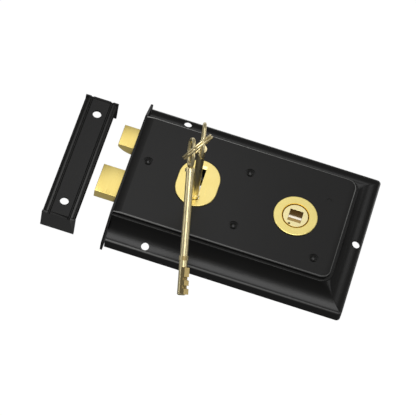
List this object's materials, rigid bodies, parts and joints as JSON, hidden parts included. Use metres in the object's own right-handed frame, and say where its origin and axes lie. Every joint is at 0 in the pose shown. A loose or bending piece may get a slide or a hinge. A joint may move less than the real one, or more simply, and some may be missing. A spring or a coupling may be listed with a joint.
{
  "type": "rim box lock",
  "caption": "Surface-mounted rim box lock of black pressed steel with brass bolts, escutcheon and spindle rose, a box keep and keys on a split ring.",
  "frame": {"origin": "middle of the lock case on the plane of its back, which lies against the door", "axes": "+X from the forend to the rear edge, +Y up the door edge, +Z out of the door towards the face"},
  "size_m": [0.1915, 0.1474, 0.1038],
  "materials": {
    "case_black": "satin black japan",
    "keep_black": "satin black japan",
    "steel": "plain bright steel",
    "spring_steel": "blued spring steel",
    "plate_brass": "satin brushed brass",
    "bolt_brass": "satin cast brass",
    "key_brass": "polished brass"
  },
  "bodies": {
    "lock": {"case_cover": "case_black", "forend_plate": "case_black", "back_plate": "case_black", "pillars": "case_black", "cap_screws": "steel", "key_escutcheon": "plate_brass", "spindle_rose": "plate_brass", "bolt_guide_post": "steel", "lever_post": "steel", "spring_stop": "steel", "follower_bush": "plate_brass"},
    "dead_bolt": {"dead_bolt": "bolt_brass", "bolt_tail": "steel", "bolt_stump": "steel"},
    "lever_1": {"lever_1": "plate_brass", "lever_1_spring": "spring_steel"},
    "lever_2": {"lever_2": "plate_brass", "lever_2_spring": "spring_steel"},
    "latch": {"latch_bolt": "bolt_brass", "latch_tail": "steel", "latch_spring": "spring_steel"},
    "follower": {"follower": "plate_brass"},
    "key": {"key_1": "key_brass"},
    "spare_key": {"key_ring": "key_brass", "key_2": "key_brass"},
    "keep": {"keep": "keep_black"}
  },
  "joints": [
    {"name": "key_turn", "type": "hinge", "parent": "lock", "child": "key", "pos_m": [-0.0308, -0.0095, 0.0213], "axis": [-0.0401, 0, 0.9992], "range_deg": [0, 205]},
    {"name": "dead_bolt_slide", "type": "slide", "parent": "lock", "child": "dead_bolt", "axis": [1, 0, 0], "range_m": [0, 0.01355]},
    {"name": "lever_1_lift", "type": "hinge", "parent": "lock", "child": "lever_1", "pos_m": [-0.057, -0.0326, 0.0108], "axis": [0, 0, -1], "range_deg": [0, 2.21], "deforming": ["lever_1_spring"]},
    {"name": "lever_2_lift", "type": "hinge", "parent": "lock", "child": "lever_2", "pos_m": [-0.057, -0.0326, 0.0128], "axis": [0, 0, -1], "range_deg": [0, 1.81], "deforming": ["lever_2_spring"]},
    {"name": "spare_swing", "type": "hinge", "parent": "key", "child": "spare_key", "pos_m": [-0.0346, -0.01948, 0.0933], "axis": [-0.8498, 0.4386, 0.2924], "range_deg": [0, 20.6]},
    {"name": "follower_turn", "type": "hinge", "parent": "lock", "child": "follower", "pos_m": [0.0315, -0.0013, 0.011], "axis": [0, 0, -1], "range_deg": [0, 40.2]},
    {"name": "latch_slide", "type": "slide", "parent": "lock", "child": "latch", "axis": [1, 0, 0], "range_m": [0, 0.0098], "stiffness_N_per_m": 760, "springref_m": -0.0056, "deforming": ["latch_spring"]},
    {"name": "keep_slide", "type": "slide", "parent": "lock", "child": "keep", "axis": [1, 0, 0], "range_m": [0, 0.0175]}
  ],
  "couplings": [
    {"joint": "dead_bolt_slide", "follows": "key_turn", "m_per_rad": 0.0037731},
    {"joint": "lever_1_lift", "follows": "key_turn", "ratio": 0.010732},
    {"joint": "lever_2_lift", "follows": "key_turn", "ratio": 0.00878},
    {"joint": "spare_swing", "follows": "key_turn", "ratio": 0.1},
    {"joint": "follower_turn", "follows": "latch_slide", "rad_per_m": 71.238}
  ]
}
